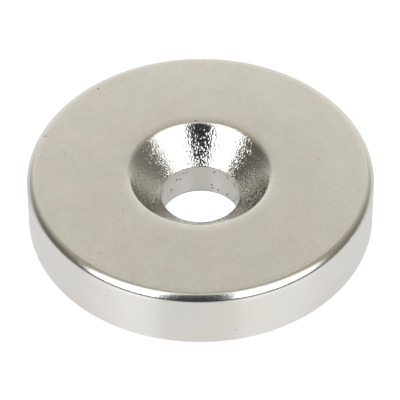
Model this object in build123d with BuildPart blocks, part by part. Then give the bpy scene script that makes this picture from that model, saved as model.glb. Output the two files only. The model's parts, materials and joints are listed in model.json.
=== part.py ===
"""Countersunk ring magnet: one sintered and nickel-plated disc with a screw hole through its middle.

The disc lies flat with its plain back face on Z = 0 and its countersunk face upwards.
Z is the axis of the disc, the bore and the countersink. All sizes are millimetres over the plating.
"""

import os
from math import radians, tan

from build123d import *

# The disc
disc_diameter = 25.0
disc_thickness = 4.8
edge_radius = 0.65  # tumbled corner between each flat face and the outer wall

# The screw hole, which takes an M5 countersunk screw
bore_diameter = 5.7
countersink_diameter = 10.25  # of the cone where it cuts the flat face, before its mouth is rounded
countersink_angle = 90.0  # full angle of the cone

# The corners of the screw hole, worn round before plating
mouth_radius = 1.10  # where the cone meets the countersunk face, the softest of the three
neck_radius = 0.10  # where the cone meets the bore
exit_radius = 0.15  # where the bore leaves the back face

with BuildPart() as ring_magnet:
    # Pressed and ground blank
    with BuildSketch(Plane.XY):
        Circle(disc_diameter / 2)
    extrude(amount=disc_thickness)

    # Tumbling rounds both outer corners alike
    outer_corners = ring_magnet.edges().filter_by(GeomType.CIRCLE)
    fillet(outer_corners, radius=edge_radius)

    # Screw hole, sunk from the upper face and right through to the back
    with Locations(Plane.XY.offset(disc_thickness)):
        CounterSinkHole(
            radius=bore_diameter / 2,
            counter_sink_radius=countersink_diameter / 2,
            counter_sink_angle=countersink_angle,
        )
    hole_edges = ring_magnet.edges(Select.LAST).filter_by(GeomType.CIRCLE)
    exit_edge, neck_edge, mouth_edge = hole_edges.sort_by(Axis.Z)
    fillet(exit_edge, radius=exit_radius)
    fillet(neck_edge, radius=neck_radius)
    fillet(mouth_edge, radius=mouth_radius)

ring_magnet.part.label = "ring_magnet"

countersink_depth = (countersink_diameter - bore_diameter) / 2 / tan(radians(countersink_angle / 2))
print(f"countersink depth {countersink_depth:.3f} mm, volume {ring_magnet.part.volume:.1f} mm3")

os.makedirs("parts", exist_ok=True)
export_step(ring_magnet.part, "parts/ring_magnet.step")
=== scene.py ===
"""The looks of a nickel-plated ring magnet with a countersunk screw hole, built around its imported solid.

One lathed body stands for the solid, ground, tumbled, drilled and plated. All lengths are metres in the
part's own frame: Z is the axis of the disc, its plain back face is on Z = 0, and the countersink faces up.
"""

import json
import logging
import math
from dataclasses import dataclass
from enum import Enum
from typing import Any, Iterable, Optional, Union

import bpy
from mathutils import Matrix, Vector

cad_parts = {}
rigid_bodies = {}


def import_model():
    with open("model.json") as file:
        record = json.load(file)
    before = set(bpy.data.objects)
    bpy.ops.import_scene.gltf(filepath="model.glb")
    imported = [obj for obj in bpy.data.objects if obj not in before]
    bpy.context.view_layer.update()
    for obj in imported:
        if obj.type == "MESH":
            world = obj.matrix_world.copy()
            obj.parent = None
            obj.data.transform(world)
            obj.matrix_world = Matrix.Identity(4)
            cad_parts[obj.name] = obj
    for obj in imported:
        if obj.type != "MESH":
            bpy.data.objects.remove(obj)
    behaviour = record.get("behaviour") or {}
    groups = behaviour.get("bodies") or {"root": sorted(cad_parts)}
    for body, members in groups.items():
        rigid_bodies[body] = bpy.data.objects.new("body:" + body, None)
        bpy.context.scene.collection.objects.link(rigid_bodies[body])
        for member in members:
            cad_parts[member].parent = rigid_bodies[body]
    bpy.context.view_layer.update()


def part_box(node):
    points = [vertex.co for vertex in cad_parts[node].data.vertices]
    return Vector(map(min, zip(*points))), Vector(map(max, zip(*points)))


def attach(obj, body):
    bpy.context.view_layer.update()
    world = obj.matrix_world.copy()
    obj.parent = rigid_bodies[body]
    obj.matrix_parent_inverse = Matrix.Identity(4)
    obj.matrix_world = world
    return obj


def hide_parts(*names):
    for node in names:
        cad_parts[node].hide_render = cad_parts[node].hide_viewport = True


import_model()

LOG = logging.getLogger("ring_magnet")
MM = 0.001


# ---------------------------------------------------------------- shader graphs


class Graph:
    """A node tree that is filled by expressions."""

    def __init__(self, tree: bpy.types.NodeTree) -> None:
        """Empties the tree.

        Args:
            tree: the node tree of a material or of the world.
        """
        self.tree = tree
        tree.nodes.clear()

    def node(self, kind: str, settings: Optional[dict[str, Any]] = None, **sockets: Any) -> bpy.types.Node:
        """Adds one node.

        Args:
            kind: the node's type, such as "ShaderNodeTexNoise".
            settings: the node's own properties, set before its sockets.
            sockets: the value or Value of each input. An underscore in a name stands for a blank, and a name
                such as i0 is the input's number.

        Returns:
            The new node.
        """
        made = self.tree.nodes.new(kind)
        for name, value in (settings or {}).items():
            setattr(made, name, value)
        for name, value in sockets.items():
            key = int(name[1:]) if name[0] == "i" and name[1:].isdigit() else name.replace("_", " ")
            socket = made.inputs[key]
            if isinstance(value, Value):
                self.tree.links.new(value.socket, socket)
            elif value is not None:
                socket.default_value = value
        return made

    def value(self, node: bpy.types.Node, output: Union[int, str] = 0) -> "Value":
        """Wraps one output of a node."""
        return Value(self, node.outputs[output])

    def math(self, operation: str, *terms: Union["Value", float]) -> "Value":
        """Adds a Math node and returns its result."""
        sockets = {f"i{n}": term for n, term in enumerate(terms)}
        return self.value(self.node("ShaderNodeMath", {"operation": operation}, **sockets))

    def vector(self, operation: str, *terms: Any) -> "Value":
        """Adds a Vector Math node and returns its result."""
        sockets = {f"i{n}": term for n, term in enumerate(terms)}
        made = self.node("ShaderNodeVectorMath", {"operation": operation}, **sockets)
        return self.value(made, "Value" if operation == "DISTANCE" else "Vector")

    def blend(self, share: "Value", low: Any, high: Any) -> "Value":
        """Mixes two colours.

        Args:
            share: 0 gives low and 1 gives high.
            low: a colour, or a Value of one.
            high: a colour, or a Value of one.

        Returns:
            The mixed colour.
        """
        colours = {"i6": self._rgba(low), "i7": self._rgba(high)}
        made = self.node("ShaderNodeMix", {"data_type": "RGBA", "clamp_factor": True}, i0=share, **colours)
        return self.value(made, 2)

    @staticmethod
    def _rgba(colour: Any) -> Any:
        """A plain colour with its alpha, or a Value as it is."""
        return colour if isinstance(colour, Value) else (*colour, 1.0)

    def step(self, term: "Value", low: float, high: float) -> "Value":
        """A smooth step.

        Args:
            term: what is measured.
            low: where the step is 0.
            high: where the step is 1, above or below low.

        Returns:
            A value from 0 to 1.
        """
        if low < high:
            return self._ramp(term, low, high, 0.0, 1.0)
        return self._ramp(term, high, low, 1.0, 0.0)

    def _ramp(self, term: "Value", low: float, high: float, first: float, last: float) -> "Value":
        """A smooth ramp from first at low to last at high."""
        settings = {"interpolation_type": "SMOOTHSTEP", "clamp": True}
        made = self.node("ShaderNodeMapRange", settings, i0=term, i1=low, i2=high, i3=first, i4=last)
        return self.value(made)

    def parts(self, vector: "Value") -> tuple["Value", "Value", "Value"]:
        """The X, Y and Z of a vector."""
        split = self.node("ShaderNodeSeparateXYZ", i0=vector)
        return self.value(split, 0), self.value(split, 1), self.value(split, 2)

    def place(self, coordinates: str = "Object") -> "Value":
        """The coordinates that a pattern reads."""
        return self.value(self.node("ShaderNodeTexCoord"), coordinates)

    def noise(self, place: "Value", size: float, detail: float = 0.0) -> "Value":
        """Cloudy noise from 0 to 1, whose lumps are about one size across."""
        return self.value(self.node("ShaderNodeTexNoise", {"noise_dimensions": "3D"}, Vector=place,
                                    Scale=1.0 / size, Detail=detail, Roughness=0.55))

    def spot(self, place: "Value", centre: tuple[float, float, float], size: float, rim: float) -> "Value":
        """One round spot.

        Args:
            place: the coordinates.
            centre: the middle of the spot.
            size: the spot's radius, at about half its strength.
            rim: where it ends, as a share of its size. It is whole out to half its size.

        Returns:
            1 in the spot and 0 elsewhere.
        """
        return self.step(self.vector("DISTANCE", place, centre), size * rim, size * 0.5)

    def scattered(self, place: "Value", spacing: float, size: float, share: float) -> "Value":
        """Small round spots, strewn at random.

        Args:
            place: the coordinates.
            spacing: how far apart the places for spots are.
            size: a spot's radius.
            share: how many of the places have a spot.

        Returns:
            1 in a spot and 0 elsewhere.
        """
        cells = self.node("ShaderNodeTexVoronoi", {"voronoi_dimensions": "3D", "feature": "F1"}, Vector=place,
                          Scale=1.0 / spacing, Randomness=1.0)
        away = self.value(cells, "Distance")
        chance = self.parts(self.value(cells, "Color"))[0]
        taken = self.math("LESS_THAN", chance, share)
        return taken * self.step(away, size * 1.4 / spacing, size * 0.6 / spacing)


class Value:
    """A node's output that adds, takes away and multiplies by adding Math nodes."""

    def __init__(self, graph: Graph, socket: bpy.types.NodeSocket) -> None:
        """Keeps the graph and the output."""
        self.graph = graph
        self.socket = socket

    def __add__(self, other: Union["Value", float]) -> "Value":
        """self + other."""
        return self.graph.math("ADD", self, other)

    def __radd__(self, other: float) -> "Value":
        """other + self."""
        return self.graph.math("ADD", other, self)

    def __sub__(self, other: Union["Value", float]) -> "Value":
        """self - other."""
        return self.graph.math("SUBTRACT", self, other)

    def __rsub__(self, other: float) -> "Value":
        """other - self."""
        return self.graph.math("SUBTRACT", other, self)

    def __mul__(self, other: Union["Value", float]) -> "Value":
        """self * other."""
        return self.graph.math("MULTIPLY", self, other)

    def __rmul__(self, other: float) -> "Value":
        """other * self."""
        return self.graph.math("MULTIPLY", other, self)

    def __abs__(self) -> "Value":
        """The size of self without its sign."""
        return self.graph.math("ABSOLUTE", self)


# ---------------------------------------------------------------- finishes


NICKEL = (0.64, 0.61, 0.54)
WARM_NICKEL = (0.66, 0.60, 0.53)
HEADROOM = 1.6  # how many times its plain tone the plating may reach before it clips


@dataclass(frozen=True)
class Blend:
    """A roughness that a finish turns into towards a neighbouring surface."""

    start: float
    finish: float
    roughness: float


@dataclass(frozen=True)
class NickelFinish:
    """Bright nickel over one ground, tumbled or drilled surface.

    Lengths are metres. "radial" blends by distance from the axis and "level" by height above the back face.
    "mottle", "speckle" and "warmth" are how much the tone and the hue wander, as shares of the plating's own.
    """

    name: str
    roughness: float
    shade: float = 1.0
    mottle: float = 0.02
    cloud_size: float = 2.5 * MM
    patch_size: float = 0.5 * MM
    speckle: float = 0.02
    speckle_size: float = 0.14 * MM
    warmth: float = 0.3
    warm_spread: float = 1.3
    warm_steps: tuple[float, float] = (0.42, 0.68)
    gloss_wander: float = 0.06
    specks: tuple[tuple[float, float, float], ...] = ()
    speck_size: float = 0.09 * MM
    speck_depth: float = 0.6
    radial: tuple[Blend, ...] = ()
    level: tuple[Blend, ...] = ()
    grain_size: float = 0.10 * MM
    grain_height: float = 0.0

    def material(self) -> bpy.types.Material:
        """Makes the finish.

        Returns:
            The material, which reads Object coordinates only.
        """
        made = bpy.data.materials.new(self.name)
        made.use_nodes = True
        graph = Graph(made.node_tree)
        place = graph.place()
        tone = self.tone(graph, place) * (1.0 - self.spots(graph, place) * self.speck_depth)
        patches = graph.noise(place, self.cloud_size * self.warm_spread, detail=1.0)
        warm = graph.step(patches, *self.warm_steps) * self.warmth
        cool, golden = (tuple(channel * HEADROOM for channel in metal) for metal in (NICKEL, WARM_NICKEL))
        light = graph.blend(warm, cool, golden)
        colour = graph.blend(tone * (self.shade / HEADROOM), (0.0, 0.0, 0.0), light)
        shader = graph.node("ShaderNodeBsdfPrincipled", Base_Color=colour, Metallic=1.0,
                            Roughness=self.gloss(graph, place))
        height = self.relief(graph, place)
        if height is not None:
            bump = graph.node("ShaderNodeBump", Strength=1.0, Distance=1.0, Height=height)
            graph.tree.links.new(bump.outputs["Normal"], shader.inputs["Normal"])
        output = graph.node("ShaderNodeOutputMaterial")
        graph.tree.links.new(shader.outputs[0], output.inputs["Surface"])
        return made

    def tone(self, graph: Graph, place: "Value") -> "Value":
        """How light the plating is from place to place, about 1.

        Args:
            graph: the material's graph.
            place: Object coordinates.

        Returns:
            The tone.
        """
        cloud = graph.noise(place, self.cloud_size, detail=2.0)
        patch = graph.noise(place, self.patch_size, detail=2.0)
        speck = graph.noise(place, self.speckle_size, detail=1.0)
        return 1.0 + (cloud + patch - 1.0) * (2.0 * self.mottle) + (speck - 0.5) * (2.0 * self.speckle)

    def spots(self, graph: Graph, place: "Value") -> Union["Value", float]:
        """Where the dark specks are.

        Args:
            graph: the material's graph.
            place: Object coordinates.

        Returns:
            1 in a speck and 0 elsewhere.
        """
        spots = graph.scattered(place, spacing=1.4 * MM, size=0.05 * MM, share=0.25)
        for speck in self.specks:
            spots = graph.math("MAXIMUM", spots, graph.spot(place, speck, self.speck_size, rim=1.3))
        return spots

    def gloss(self, graph: Graph, place: "Value") -> "Value":
        """The roughness, which runs into that of the surfaces next to this one.

        Args:
            graph: the material's graph.
            place: Object coordinates.

        Returns:
            The roughness.
        """
        x, y, z = graph.parts(place)
        radius = graph.math("SQRT", x * x + y * y)
        rough = self.roughness + (graph.noise(place, self.patch_size, detail=2.0) - 0.5) * self.gloss_wander
        for measure, blends in ((radius, self.radial), (z, self.level)):
            for blend in blends:
                share = graph.step(measure, blend.start, blend.finish)
                rough = rough + share * (blend.roughness - rough)
        return rough

    def relief(self, graph: Graph, place: "Value") -> Optional["Value"]:
        """The height of the grain, or None where the surface is smooth.

        Args:
            graph: the material's graph.
            place: Object coordinates.

        Returns:
            The height in metres.
        """
        if not self.grain_height:
            return None
        return graph.noise(place, self.grain_size, detail=1.0) * self.grain_height


@dataclass(frozen=True)
class FaceFinish(NickelFinish):
    """A ground and tumbled pole face, with faint drag marks and a tone a little darker towards the middle.

    Each of "drags" is the angle of one direction of the marks and the seed that sets their places.
    """

    marks: float = 0.06
    mark_size: float = 0.16 * MM
    mark_stretch: tuple[float, float, float] = (0.14, 1.0, 1.0)
    marked_size: float = 1.9 * MM
    marked_steps: tuple[float, float] = (0.46, 0.66)
    drags: tuple[tuple[float, float], ...] = ((math.radians(-28.0), 3.0), (math.radians(81.0), 7.0))
    # how much darker the tone gets towards the hole, and between which radii
    dull: float = 0.03
    dull_from: float = 11.0 * MM
    dull_within: float = 7.0 * MM

    def tone(self, graph: Graph, place: "Value") -> "Value":
        """The mottled tone with drag marks in two directions, a little darker towards the middle."""
        tone = NickelFinish.tone(self, graph, place)
        for angle, seed in self.drags:
            turned = graph.value(graph.node("ShaderNodeMapping", Vector=place, Location=(seed, seed, 0.0),
                                            Rotation=(0.0, 0.0, -angle)))
            turned = graph.vector("MULTIPLY", turned, self.mark_stretch)
            marks = graph.noise(turned, self.mark_size, detail=3.0)
            where = graph.step(graph.noise(turned, self.marked_size, detail=0.0), *self.marked_steps)
            tone = tone + (marks - 0.5) * where * (2.0 * self.marks)
        x, y, _ = graph.parts(place)
        radius = graph.math("SQRT", x * x + y * y)
        return tone * (1.0 - graph.step(radius, self.dull_from, self.dull_within) * self.dull)


@dataclass(frozen=True)
class ConeFinish(NickelFinish):
    """A drilled countersink, duller below its mouth than above it."""

    dull: float = 0.17
    dull_from: float = 5.2 * MM
    dull_below: float = 4.8 * MM

    def tone(self, graph: Graph, place: "Value") -> "Value":
        """The mottled tone, darker down in the cone."""
        x, y, _ = graph.parts(place)
        radius = graph.math("SQRT", x * x + y * y)
        depth = graph.step(radius, self.dull_from, self.dull_below)
        return NickelFinish.tone(self, graph, place) * (1.0 - depth * self.dull)


@dataclass(frozen=True)
class BoreFinish(NickelFinish):
    """A drilled bore, plated thinly, with turning marks and pits.

    A pit is its angle from the back, its height and its radius. "lip" is how high the darker lower lip
    reaches.
    """

    marks: float = 0.05
    mark_size: float = 0.12 * MM
    mark_stretch: tuple[float, float, float] = (0.16, 0.16, 1.0)
    ridge_size: float = 0.10 * MM
    ridge_stretch: tuple[float, float, float] = (0.12, 0.12, 1.0)
    ridge_height: float = 0.004 * MM
    pits: tuple[tuple[float, float, float], ...] = ()
    pit_dark: float = 0.6
    pit_depth: float = 0.03 * MM
    radius: float = 2.85 * MM
    lip: float = 0.28 * MM
    lip_dark: float = 0.25

    def tone(self, graph: Graph, place: "Value") -> "Value":
        """The mottled tone with marks round the bore, dark pits and a lower lip that is darker towards the
        back face.
        """
        tone = NickelFinish.tone(self, graph, place)
        rings = graph.noise(graph.vector("MULTIPLY", place, self.mark_stretch), self.mark_size, detail=2.0)
        tone = tone + (rings - 0.5) * (2.0 * self.marks)
        height = graph.parts(place)[2]
        # the tone darkens towards the back face over the lowest part of the bore
        tone = tone * (1.0 - graph.step(height, self.lip, self.lip * 0.45) * self.lip_dark)
        return tone * (1.0 - self.hollows(graph, place) * self.pit_dark)

    def hollows(self, graph: Graph, place: "Value") -> "Value":
        """Where the pits are.

        Args:
            graph: the material's graph.
            place: Object coordinates.

        Returns:
            1 in a pit and 0 elsewhere.
        """
        hollows = graph.scattered(place, spacing=0.5 * MM, size=0.045 * MM, share=0.4)
        for azimuth, height, size in self.pits:
            angle = math.radians(azimuth)
            centre = (self.radius * math.sin(angle), self.radius * math.cos(angle), height)
            hollows = graph.math("MAXIMUM", hollows, graph.spot(place, centre, size, rim=1.4))
        return hollows

    def relief(self, graph: Graph, place: "Value") -> "Value":
        """The pits' depth and the turning marks' height."""
        ridges = graph.noise(graph.vector("MULTIPLY", place, self.ridge_stretch), self.ridge_size, detail=2.0)
        return ridges * self.ridge_height - self.hollows(graph, place) * self.pit_depth


class Zone(Enum):
    """The surfaces of the magnet, each worked in its own way before plating."""

    FACE = FaceFinish(
        "ground_face", roughness=0.31, mottle=0.07, cloud_size=3.0 * MM, patch_size=0.45 * MM, speckle=0.05,
        warmth=0.6, radial=(Blend(11.3 * MM, 12.1 * MM, 0.17), Blend(5.6 * MM, 5.1 * MM, 0.16)),
        specks=((-0.0003, 0.0054, 0.0048), (0.0091, -0.0089, 0.0048), (-0.0075, 0.0089, 0.0048),
                (-0.01133, 0.00528, 0.0048)))
    EDGE = NickelFinish(
        "tumbled_edge", roughness=0.17, mottle=0.02, grain_size=0.09 * MM, grain_height=0.004 * MM,
        specks=((-0.01249, 0.00055, 0.00415), (-0.01247, 0.0007, 0.0043), (-0.01244, 0.0006, 0.0044)))
    WALL = NickelFinish("ground_wall", roughness=0.24, mottle=0.025, speckle=0.035, speck_depth=0.3,
                        specks=((-0.00662, -0.0106, 0.00318), (0.00239, -0.01227, 0.00138),
                                (-0.01249, 0.0006, 0.0041), (-0.01249, 0.0006, 0.0039)),
                        level=(Blend(4.05 * MM, 4.2 * MM, 0.17), Blend(0.75 * MM, 0.6 * MM, 0.17)))
    CONE = ConeFinish("drilled_cone", roughness=0.13, mottle=0.04, patch_size=0.3 * MM,
                      grain_size=0.06 * MM, grain_height=0.005 * MM)
    BORE = BoreFinish(
        "drilled_bore", roughness=0.34, shade=0.94, mottle=0.05,
        pits=((21.0, 0.00218, 0.07 * MM), (42.0, 0.00232, 0.06 * MM), (44.0, 0.00218, 0.07 * MM),
              (17.0, 0.0008, 0.08 * MM), (18.0, 0.0005, 0.07 * MM), (27.0, 0.00046, 0.08 * MM),
              (43.0, 0.00046, 0.09 * MM), (61.0, 0.0022, 0.09 * MM), (61.0, 0.0020, 0.09 * MM),
              (76.0, 0.00162, 0.12 * MM), (67.0, 0.00096, 0.12 * MM), (59.0, 0.0004, 0.10 * MM),
              (-25.0, 0.00216, 0.06 * MM), (-20.0, 0.00216, 0.06 * MM), (-37.0, 0.0018, 0.08 * MM),
              (-31.0, 0.00168, 0.07 * MM), (-48.0, 0.00114, 0.12 * MM)))


# ---------------------------------------------------------------- the magnet


def only(obj: bpy.types.Object) -> None:
    """Deselects everything and makes one object selected and active.

    Args:
        obj: the object to work on.
    """
    if bpy.context.object and bpy.context.object.mode != "OBJECT":
        bpy.ops.object.mode_set(mode="OBJECT")
    bpy.ops.object.select_all(action="DESELECT")
    obj.select_set(True)
    bpy.context.view_layer.objects.active = obj


@dataclass(frozen=True)
class Corner:
    """A corner of the section and its arc.

    The reach is how far the arc runs along each side of the corner.
    """

    radius: float
    height: float
    reach: float
    steps: int


@dataclass(frozen=True)
class Knock:
    """A small dent: its place on the body, how far the surface is pushed and how wide the dent is."""

    azimuth: float
    radius: float
    height: float
    push: tuple[float, float]
    width: float


@dataclass(frozen=True)
class Strip:
    """A part of the flat layout: where it starts and how far it runs, as shares of the square."""

    left: float
    bottom: float
    width: float
    height: float

    def place(self, across: float, along: float) -> tuple[float, float]:
        """The place in the square of a point at shares of the strip's width and height."""
        return self.left + self.width * across, self.bottom + self.height * along


class Layout(Enum):
    """Where the surfaces lie in the flat layout. A disc is placed by its middle and its radius."""

    UPPER_DISC = Strip(0.25, 0.75, 0.235, 0.235)
    BACK_DISC = Strip(0.75, 0.75, 0.235, 0.235)
    RIGHT_WALL = Strip(0.02, 0.245, 0.96, 0.105)
    LEFT_WALL = Strip(0.02, 0.37, 0.96, 0.105)
    CONE = Strip(0.5, 0.09, 0.48, 0.13)
    BORE = Strip(0.5, 0.015, 0.48, 0.055)


@dataclass
class RingBody:
    """The sintered disc with its countersunk hole, lathed from one section.

    "edge_width" is how far the finish of an outer edge reaches, "edge_reach" how far its arc runs along each
    side, and "edge_fade" how far beyond it the upper one fades into the face. The mouth has a worn land
    beside its rounding. Each of "grain" is the radius within which points of the cone are raised, how high,
    and what share of them. "cone_run" is the length that the cone's strip of the flat layout holds.
    """

    node: str = "ring_magnet"
    body: str = "root"
    slot: str = "nickel_plating"
    name: str = "plated_ring"
    edge_width: float = 0.65 * MM
    edge_reach: float = 0.6255 * MM
    edge_fade: float = 0.45 * MM
    bore_radius: float = 2.85 * MM
    cone_radius: float = 5.17 * MM
    cone_slope: float = math.radians(43.0)
    mouth_radius: float = 0.60 * MM
    mouth_wear: float = 0.55 * MM
    mouth_wear_slope: float = math.radians(6.0)
    mouth_fade: float = 0.25 * MM
    neck_radius: float = 0.10 * MM
    exit_radius: float = 0.15 * MM
    turns: int = 760
    cone_rings: int = 54
    bore_rings: int = 14
    flat_rings: int = 3
    mouth_shift: tuple[float, float] = (-0.05 * MM, -0.04 * MM)
    shift_within: float = 0.6 * MM
    shift_fade: float = 1.6 * MM
    cone_run: float = 5.0 * MM
    allowance: float = 0.001 * MM
    grain: tuple[tuple[float, float, float], ...] = (
        (5.17 * MM, 0.004 * MM, 1.0),
        (5.00 * MM, 0.034 * MM, 0.06),
        (4.65 * MM, 0.030 * MM, 0.11),
    )
    knocks: tuple[Knock, ...] = (
        Knock(-92.5, 12.45 * MM, 4.40 * MM, (-0.08 * MM, -0.03 * MM), 0.22 * MM),
        Knock(-93.0, 12.50 * MM, 4.15 * MM, (-0.08 * MM, 0.0), 0.22 * MM),
        Knock(-108.7, 11.90 * MM, 4.77 * MM, (0.0, -0.04 * MM), 0.18 * MM),
        Knock(58.5, 12.46 * MM, 4.35 * MM, (-0.03 * MM, -0.01 * MM), 0.20 * MM),
    )

    def __post_init__(self) -> None:
        """Reads the disc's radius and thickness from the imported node."""
        low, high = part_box(self.node)
        self.radius = high.x - self.allowance
        self.thickness = high.z
        self.shoulder = self.thickness - self.mouth_wear * math.tan(self.mouth_wear_slope)
        self.neck = self.shoulder - (self.cone_radius - self.bore_radius) * math.tan(self.cone_slope)

    def build(self) -> bpy.types.Object:
        """Models the body, dresses it and ties it to the frame.

        Returns:
            The finished piece.
        """
        obj = self.section()
        self.turn(obj)
        self.dress(obj)
        self.shift_mouth(obj)
        self.roughen(obj)
        for knock in self.knocks:
            self.dent(obj, knock)
        self.lay_out(obj)
        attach(obj, self.body)
        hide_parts(self.node)
        return obj

    def corners(self) -> dict[str, Corner]:
        """The corners of the section and how each is rounded."""
        mouth = self.mouth_radius * math.tan((self.cone_slope - self.mouth_wear_slope) / 2)
        neck = self.neck_radius * math.tan((math.pi / 2 - self.cone_slope) / 2)
        return {
            "edge": Corner(self.radius, self.thickness, self.edge_reach, 14),
            "edge_fade": Corner(self.radius - self.edge_reach, self.thickness, self.edge_fade, 5),
            "mouth_wear": Corner(self.cone_radius + self.mouth_wear, self.thickness, self.mouth_fade, 4),
            "mouth": Corner(self.cone_radius, self.shoulder, mouth, 8),
            "neck": Corner(self.bore_radius, self.neck, neck, 4),
            "exit": Corner(self.bore_radius, 0.0, self.exit_radius, 4),
            "foot": Corner(self.radius, 0.0, self.edge_reach, 10),
        }

    def cuts(self) -> tuple[tuple[float, float, float, float], ...]:
        """The cuts of the worn land and the cone: a point on each and the side that it takes away."""
        mouth, cone = self.mouth_wear_slope, self.cone_slope
        return (
            (self.cone_radius + self.mouth_wear, self.thickness, -math.sin(mouth), math.cos(mouth)),
            (self.cone_radius, self.shoulder, -math.sin(cone), math.cos(cone)),
        )

    def section(self) -> bpy.types.Object:
        """Draws half the disc's section in the XZ plane, from the bore to the outer wall.

        Returns:
            The object, whose mesh is the closed outline of the section.
        """
        width = self.radius - self.bore_radius
        middle = (self.bore_radius + width / 2, 0.0, self.thickness / 2)
        bpy.ops.object.select_all(action="DESELECT")
        bpy.ops.mesh.primitive_plane_add(size=1.0, location=middle, rotation=(math.pi / 2, 0.0, 0.0))
        obj = bpy.context.object
        obj.name = obj.data.name = self.name
        obj.scale = (width, self.thickness, 1.0)
        bpy.ops.object.transform_apply(location=True, rotation=True, scale=True)
        bpy.ops.object.mode_set(mode="EDIT")
        bpy.ops.mesh.select_all(action="SELECT")
        for radius, height, across, up in self.cuts():
            bpy.ops.mesh.select_all(action="SELECT")
            bpy.ops.mesh.bisect(plane_co=(radius, 0.0, height), plane_no=(across, 0.0, up), clear_outer=True)
        for corner in self.corners().values():
            self._pick(obj, [(corner.radius, corner.height)])
            bpy.ops.mesh.bevel(affect="VERTICES", offset=corner.reach, segments=corner.steps, profile=0.5)
        self._rings(obj)
        bpy.ops.mesh.select_all(action="SELECT")
        bpy.ops.mesh.delete(type="ONLY_FACE")
        return obj

    def _pick(self, obj: bpy.types.Object, places: Iterable[tuple[float, float]]) -> None:
        """Selects the section's points nearest to some places.

        Args:
            obj: the section, in edit mode.
            places: (radius, height) pairs.
        """
        bpy.ops.mesh.select_mode(type="VERT")
        bpy.ops.mesh.select_all(action="DESELECT")
        bpy.ops.object.mode_set(mode="OBJECT")
        for radius, height in places:
            target = Vector((radius, 0.0, height))
            nearest = min(obj.data.vertices, key=lambda v: (v.co - target).length)
            nearest.select = True
        bpy.ops.object.mode_set(mode="EDIT")

    def _rings(self, obj: bpy.types.Object) -> None:
        """Divides the straight runs of the section, finely along the cone and the bore.

        Args:
            obj: the section, in edit mode, with its corners rounded.
        """
        at = self.corners()
        slope = Vector((math.cos(self.cone_slope), math.sin(self.cone_slope)))
        low = Vector((self.bore_radius, self.neck)) + slope * at["neck"].reach
        high = Vector((self.cone_radius, self.shoulder)) - slope * at["mouth"].reach
        bore_low, bore_high = at["exit"].reach, self.neck - at["neck"].reach
        wall_low, wall_high = at["foot"].reach, self.thickness - at["edge"].reach
        back_inner, back_outer = self.bore_radius + at["exit"].reach, self.radius - at["foot"].reach
        face_inner = at["mouth_wear"].radius + at["mouth_wear"].reach
        face_outer = at["edge_fade"].radius - at["edge_fade"].reach
        runs = (
            (low, high, self.cone_rings),
            ((self.bore_radius, bore_low), (self.bore_radius, bore_high), self.bore_rings),
            ((self.radius, wall_low), (self.radius, wall_high), self.flat_rings),
            ((back_inner, 0.0), (back_outer, 0.0), self.flat_rings),
            ((face_inner, self.thickness), (face_outer, self.thickness), self.flat_rings),
        )
        for first, last, rings in runs:
            self._pick(obj, [first, last])
            bpy.ops.mesh.select_mode(type="EDGE")
            bpy.ops.mesh.subdivide(number_cuts=rings - 1)

    def turn(self, obj: bpy.types.Object) -> None:
        """Spins the section once round the axis and closes the seam.

        Args:
            obj: the section, in edit mode. It is not used.
        """
        bpy.ops.mesh.select_all(action="SELECT")
        bpy.ops.mesh.spin(steps=self.turns, angle=2 * math.pi, center=(0.0, 0.0, 0.0), axis=(0.0, 0.0, 1.0))
        bpy.ops.mesh.select_all(action="SELECT")
        bpy.ops.mesh.remove_doubles(threshold=0.002 * MM)
        bpy.ops.mesh.normals_make_consistent(inside=False)
        bpy.ops.object.mode_set(mode="OBJECT")
        bpy.ops.object.shade_smooth()

    def zone_of(self, radius: float, height: float) -> Zone:
        """Names the surface that a point of the section lies on.

        Args:
            radius: distance from the axis.
            height: distance above the back face.

        Returns:
            The zone.
        """
        if radius > self.radius - self.edge_width:
            level = self.edge_width < height < self.thickness - self.edge_width
            return Zone.WALL if level else Zone.EDGE
        if height > self.neck and radius < self.cone_radius + 0.05 * MM:
            return Zone.CONE
        if radius < self.bore_radius + self.neck_radius * 0.3:
            return Zone.BORE
        return Zone.FACE

    def dress(self, obj: bpy.types.Object) -> None:
        """Gives each zone its finish.

        Args:
            obj: the lathed body.
        """
        order = list(Zone)
        for zone in order:
            obj.data.materials.append(zone.value.material())
        for face in obj.data.polygons:
            middle = face.center
            face.material_index = order.index(self.zone_of(math.hypot(middle.x, middle.y), middle.z))

    def shift_mouth(self, obj: bpy.types.Object) -> None:
        """Moves the countersink's mouth a little off the axis, as it was drilled, and leaves the bore true.

        Args:
            obj: the lathed body.
        """
        only(obj)
        bpy.ops.object.mode_set(mode="EDIT")
        bpy.ops.mesh.select_mode(type="VERT")
        bpy.ops.mesh.select_all(action="DESELECT")
        bpy.ops.object.mode_set(mode="OBJECT")
        for vertex in obj.data.vertices:
            radius = math.hypot(vertex.co.x, vertex.co.y)
            near_mouth = self.cone_radius - self.shift_within < radius < self.cone_radius + self.mouth_wear
            vertex.select = near_mouth and vertex.co.z > self.neck
        bpy.ops.object.mode_set(mode="EDIT")
        bpy.ops.transform.translate(value=(*self.mouth_shift, 0.0), use_proportional_edit=True,
                                    proportional_edit_falloff="SMOOTH", proportional_size=self.shift_fade)
        bpy.ops.object.mode_set(mode="OBJECT")

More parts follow.
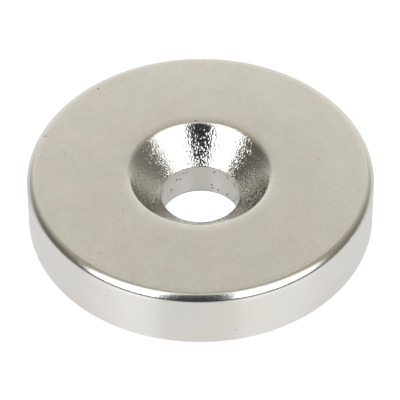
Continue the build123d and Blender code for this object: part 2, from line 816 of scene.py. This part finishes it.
    def roughen(self, obj: bpy.types.Object) -> None:
        """Raises the grain that the drill left on the cone, coarsest in its lower three quarters.

        Args:
            obj: the lathed body.
        """
        only(obj)
        for seed, (outer, height, share) in enumerate(self.grain):
            bpy.ops.object.mode_set(mode="EDIT")
            bpy.ops.mesh.select_mode(type="VERT")
            bpy.ops.mesh.select_all(action="DESELECT")
            bpy.ops.object.mode_set(mode="OBJECT")
            for vertex in obj.data.vertices:
                radius = math.hypot(vertex.co.x, vertex.co.y)
                vertex.select = radius < outer and vertex.co.z > self.neck
            bpy.ops.object.mode_set(mode="EDIT")
            bpy.ops.mesh.select_random(ratio=1.0 - share, seed=seed, action="DESELECT")
            bpy.ops.transform.vertex_random(offset=height, uniform=0.0, normal=1.0, seed=seed)
            bpy.ops.object.mode_set(mode="OBJECT")

    def dent(self, obj: bpy.types.Object, knock: Knock) -> None:
        """Pushes one small dent into the body.

        Args:
            obj: the lathed body.
            knock: the dent.
        """
        angle = math.radians(knock.azimuth)
        outward = Vector((math.sin(angle), -math.cos(angle), 0.0))
        target = outward * knock.radius + Vector((0.0, 0.0, knock.height))
        only(obj)
        bpy.ops.object.mode_set(mode="EDIT")
        bpy.ops.mesh.select_mode(type="VERT")
        bpy.ops.mesh.select_all(action="DESELECT")
        bpy.ops.object.mode_set(mode="OBJECT")
        nearest = min(obj.data.vertices, key=lambda v: (v.co - target).length)
        nearest.select = True
        bpy.ops.object.mode_set(mode="EDIT")
        push = outward * knock.push[0] + Vector((0.0, 0.0, knock.push[1]))
        bpy.ops.transform.translate(value=push, use_proportional_edit=True,
                                    proportional_edit_falloff="SMOOTH", proportional_size=knock.width)
        bpy.ops.object.mode_set(mode="OBJECT")

    def lay_out(self, obj: bpy.types.Object) -> None:
        """Lays the surfaces out flat, each in its own part of the square, for baked pictures.

        The two flat faces are discs. The wall with its edges is two strips of half a turn, and the cone and
        the bore are a strip each.

        Args:
            obj: the finished body.
        """
        mesh = obj.data
        order = list(Zone)
        layer = mesh.uv_layers.new(name="OFBake")
        for face in mesh.polygons:
            zone = order[face.material_index]
            middle = math.atan2(face.center.x, -face.center.y)
            for loop in face.loop_indices:
                point = mesh.vertices[mesh.loops[loop].vertex_index].co
                radius = math.hypot(point.x, point.y)
                turn = math.atan2(point.x, -point.y)
                turn += 2 * math.pi * round((middle - turn) / (2 * math.pi))
                if zone is Zone.FACE:
                    place = self._on_disc(point, face.center.z > self.thickness / 2)
                elif zone is Zone.CONE:
                    along = (radius - self.bore_radius + point.z - self.neck) / self.cone_run
                    place = Layout.CONE.value.place(turn / math.pi, along)
                elif zone is Zone.BORE:
                    place = Layout.BORE.value.place(turn / math.pi, point.z / self.neck)
                else:
                    place = self._on_wall(radius, point.z, turn, middle > 0.0)
                layer.data[loop].uv = place

    def _on_disc(self, point: Vector, upper: bool) -> tuple[float, float]:
        """The place of a point of a flat face in its disc.

        Args:
            point: the point.
            upper: whether it lies on the countersunk face.

        Returns:
            The place in the square.
        """
        disc = Layout.UPPER_DISC if upper else Layout.BACK_DISC
        return disc.value.place(point.x / self.radius, point.y / self.radius)

    def _on_wall(self, radius: float, height: float, turn: float, right: bool) -> tuple[float, float]:
        """The place of a point of the wall or its edges in one of the two strips.

        Args:
            radius: distance from the axis.
            height: distance above the back face.
            turn: the angle from the front, growing to the right.
            right: whether the face lies on the right half.

        Returns:
            The place in the square.
        """
        over = self.radius - radius
        along = height + over if height > self.thickness / 2 else height - over
        share = (along + self.edge_width) / (self.thickness + 2 * self.edge_width)
        strip, start = (Layout.RIGHT_WALL, turn) if right else (Layout.LEFT_WALL, turn + math.pi)
        return strip.value.place(start / math.pi, share)


# ---------------------------------------------------------------- the studio


@dataclass(frozen=True)
class Softbox:
    """One of the two softboxes in front: its side (-1 left, 1 right), light, and how its long edges lie.

    The light falls off from the middle of the studio towards the outer edge.
    """

    side: int
    light: float
    light_outside: float
    inner: float
    outer: float


@dataclass
class Surround:
    """What stands round the table: two softboxes, a dark gap between them, a white backdrop and dim sides.

    A direction is given by its share to the side (X, either way), to the front (-Y) and upwards (Z). A pair
    named "steps" is where a change starts and where it is complete, in such shares. "lean" is how much of the
    share to the side and upwards a softbox's outer edge gives way, and "rise" how much its inner edge does.
    """

    softboxes: tuple[Softbox, ...] = (
        Softbox(-1, 5.2, 2.2, 0.43, 0.08),
        Softbox(1, 3.8, 2.0, 0.29, 0.01),
    )
    daylight: tuple[float, float, float] = (0.96, 1.0, 1.08)
    gap: tuple[float, float, float] = (0.034, 0.038, 0.052)
    dim_left: tuple[float, float, float] = (0.19, 0.18, 0.165)
    dim_right: tuple[float, float, float] = (0.28, 0.27, 0.25)
    low: tuple[float, float, float] = (0.15, 0.15, 0.18)
    over: tuple[float, float, float] = (0.41, 0.375, 0.33)
    top: tuple[float, float, float] = (0.90, 0.90, 0.88)
    backdrop: tuple[float, float, float] = (1.04, 1.05, 1.04)
    low_front_steps: tuple[float, float] = (0.10, 0.30)
    low_height_steps: tuple[float, float] = (0.30, 0.15)
    gap_steps: tuple[float, float] = (-0.16, 0.02)
    box_front_steps: tuple[float, float] = (-0.30, 0.15)
    box_height_steps: tuple[float, float] = (0.20, 0.36)
    inner_steps: tuple[float, float] = (-0.015, 0.015)
    outer_steps: tuple[float, float] = (-0.02, 0.02)
    light_steps: tuple[float, float] = (0.05, 0.50)
    rise: float = 0.13
    lean: tuple[float, float] = (0.49, 0.455)
    height_weight: float = 0.55
    side_steps: tuple[float, float] = (-0.3, 0.3)
    card_steps: tuple[float, float] = (1.15, 0.55)
    over_steps: tuple[float, float] = (0.62, 0.88)
    over_share: float = 0.9
    top_steps: tuple[float, float] = (0.88, 0.96)

    def build(self) -> None:
        """Fills the world's nodes."""
        world = bpy.data.worlds.new("studio")
        bpy.context.scene.world = world
        world.use_nodes = True
        graph = Graph(world.node_tree)
        x, y, z = graph.parts(graph.place("Generated"))
        seen = self.colour(graph, x, 0.0 - y, z)
        path = graph.node("ShaderNodeLightPath")
        seen = graph.blend(graph.value(path, "Is Camera Ray"), seen, (1.0, 1.0, 1.0))
        background = graph.node("ShaderNodeBackground", Color=seen, Strength=1.0)
        output = graph.node("ShaderNodeOutputWorld")
        graph.tree.links.new(background.outputs[0], output.inputs["Surface"])

    def colour(self, graph: Graph, x: "Value", front: "Value", z: "Value") -> "Value":
        """The colour that is seen in a direction.

        Args:
            graph: the graph to add to.
            x: the direction's share to the right.
            front: its share to the front.
            z: its share upwards.

        Returns:
            The colour.
        """
        seen = self.behind(graph, x, front, z)
        under = graph.step(front, *self.low_front_steps) * graph.step(z, *self.low_height_steps)
        seen = graph.blend(under, seen, self.low)
        in_gap = graph.step(front, *self.gap_steps)
        high = graph.step(front, *self.box_front_steps) * graph.step(z, *self.box_height_steps)
        for box in self.softboxes:
            side = x * float(box.side)
            inner = graph.step(side - box.inner * front - self.rise * z, *self.inner_steps)
            within = front - self.lean[0] * side + self.lean[1] * z - box.outer
            outer = graph.step(within, *self.outer_steps)
            in_gap = in_gap * (1.0 - inner)
            dull = tuple(channel * box.light_outside for channel in self.daylight)
            bright = tuple(channel * box.light for channel in self.daylight)
            light = graph.blend(graph.step(within, *self.light_steps), dull, bright)
            seen = graph.blend(inner * outer * high, seen, light)
        return graph.blend(in_gap, seen, self.gap)

    def behind(self, graph: Graph, x: "Value", front: "Value", z: "Value") -> "Value":
        """The backdrop, which darkens to the sides and upwards, and the paler middle of the ceiling.

        Args:
            graph: the graph to add to.
            x: the direction's share to the right.
            front: its share to the front.
            z: its share upwards.

        Returns:
            The colour.
        """
        ahead = graph.math("MAXIMUM", front, 0.0)
        away = abs(x) + ahead + self.height_weight * abs(z)
        dim = graph.blend(graph.step(x, *self.side_steps), self.dim_left, self.dim_right)
        card = graph.blend(graph.step(away, *self.card_steps), dim, self.backdrop)
        card = graph.blend(graph.step(z, *self.over_steps) * self.over_share, card, self.over)
        return graph.blend(graph.step(z, *self.top_steps), card, self.top)


@dataclass
class Backdrop:
    """The white card that stands behind the table. It shows in the magnet's plating and not to the camera."""

    distance: float = 200.0 * MM
    width: float = 480.0 * MM
    height: float = 300.0 * MM

    def build(self, surround: Surround) -> bpy.types.Object:
        """Makes the card.

        Args:
            surround: the studio, whose backdrop the card carries.

        Returns:
            The card.
        """
        bpy.ops.object.select_all(action="DESELECT")
        middle = (0.0, self.distance, self.height / 2)
        bpy.ops.mesh.primitive_plane_add(size=1.0, location=middle, rotation=(math.pi / 2, 0.0, 0.0))
        card = bpy.context.object
        card.name = card.data.name = "backdrop_card"
        card.scale = (self.width, self.height, 1.0)
        bpy.ops.object.transform_apply(location=True, rotation=True, scale=True)
        made = bpy.data.materials.new("backdrop_card")
        made.use_nodes = True
        graph = Graph(made.node_tree)
        x, y, z = graph.parts(graph.vector("NORMALIZE", graph.place()))
        seen = surround.behind(graph, x, 0.0 - y, z)
        light = graph.node("ShaderNodeEmission", Color=seen, Strength=1.0)
        output = graph.node("ShaderNodeOutputMaterial")
        graph.tree.links.new(light.outputs[0], output.inputs["Surface"])
        card.data.materials.append(made)
        card.visible_camera = False
        card.visible_shadow = False
        return card


@dataclass
class Floor:
    """The glossy white table top, which glows to the camera and to the plating, less so behind the magnet,
    where the magnet's shadow is painted into the glow.
    """

    size: float = 3.0
    tint: tuple[float, float, float] = (1.0, 1.02, 1.09)
    camera_glow: float = 0.85
    mirror_glow: float = 0.63
    white: float = 0.31
    roughness: float = 0.12
    # painted shadow of the magnet: how much the floor's glow to the plating dims behind it, and from where to
    # where
    shade_behind: float = 0.38
    shade_steps: tuple[float, float] = (-9.0 * MM, 13.0 * MM)

    def build(self) -> bpy.types.Object:
        """Makes the table top.

        Returns:
            The floor.
        """
        bpy.ops.object.select_all(action="DESELECT")
        bpy.ops.mesh.primitive_plane_add(size=self.size, location=(0.0, 0.0, 0.0))
        floor = bpy.context.object
        floor.name = floor.data.name = "table_top"
        made = bpy.data.materials.new("table_top")
        made.use_nodes = True
        graph = Graph(made.node_tree)
        path = graph.node("ShaderNodeLightPath")
        glossy, transmitted = graph.value(path, "Is Glossy Ray"), graph.value(path, "Is Transmission Ray")
        mirrored = graph.math("MAXIMUM", glossy, transmitted)
        # painted shadow: the glow that the plating sees is dimmed behind the magnet
        behind = graph.step(graph.parts(graph.place())[1], *self.shade_steps)
        mirrored = mirrored * (1.0 - behind * self.shade_behind)
        glow = graph.value(path, "Is Camera Ray") * self.camera_glow + mirrored * self.mirror_glow
        shader = graph.node("ShaderNodeBsdfPrincipled", Base_Color=(self.white,) * 3 + (1.0,),
                            Roughness=self.roughness, Emission_Color=(*self.tint, 1.0),
                            Emission_Strength=glow)
        output = graph.node("ShaderNodeOutputMaterial")
        graph.tree.links.new(shader.outputs[0], output.inputs["Surface"])
        floor.data.materials.append(made)
        return floor


@dataclass
class Viewpoint:
    """The camera, with a long lens, looking down on the countersunk face. The centre is in picture points."""

    distance: float = 219.55 * MM
    elevation: float = math.radians(44.439)
    roll: float = math.radians(-0.475)
    lens: float = 274.94
    sensor: float = 36.0
    picture: float = 400.0
    centre_right: float = 0.33
    centre_down: float = -27.87

    def build(self, top: float) -> bpy.types.Object:
        """Adds the camera and makes it the scene's.

        Args:
            top: the height of the countersunk face.

        Returns:
            The camera.
        """
        outward = Vector((0.0, -math.cos(self.elevation), math.sin(self.elevation)))
        ahead = -outward
        right = Vector((1.0, 0.0, 0.0))
        up = right.cross(ahead)
        roll = Matrix.Rotation(-self.roll, 3, ahead)
        right, up = roll @ right, roll @ up
        pixels = self.lens / self.sensor * self.picture
        pan = math.atan(self.centre_right / pixels)
        tilt = math.atan(self.centre_down / pixels)
        right, ahead = (math.cos(pan) * right + math.sin(pan) * ahead,
                        math.cos(pan) * ahead - math.sin(pan) * right)
        up, ahead = (math.cos(tilt) * up - math.sin(tilt) * ahead,
                     math.cos(tilt) * ahead + math.sin(tilt) * up)
        turn = Matrix((right, up, -ahead)).transposed()
        place = Vector((0.0, 0.0, top)) + outward * self.distance
        bpy.ops.object.camera_add(location=place, rotation=turn.to_euler())
        camera = bpy.context.object
        camera.name = camera.data.name = "viewpoint"
        camera.data.lens = self.lens
        camera.data.sensor_width = self.sensor
        camera.data.sensor_fit = "HORIZONTAL"
        camera.data.clip_start = 1.0 * MM
        camera.data.clip_end = 10.0
        bpy.context.scene.camera = camera
        return camera


def main() -> None:
    """Builds the studio and the magnet."""
    logging.basicConfig(level=logging.INFO, format="%(name)s: %(message)s")
    bpy.context.scene.view_settings.view_transform = "Standard"
    magnet = RingBody()
    Viewpoint().build(magnet.thickness)
    surround = Surround()
    surround.build()
    Backdrop().build(surround)
    Floor().build()
    piece = magnet.build()
    LOG.info("%s: %d faces", piece.name, len(piece.data.polygons))


if __name__ == "__main__":
    main()
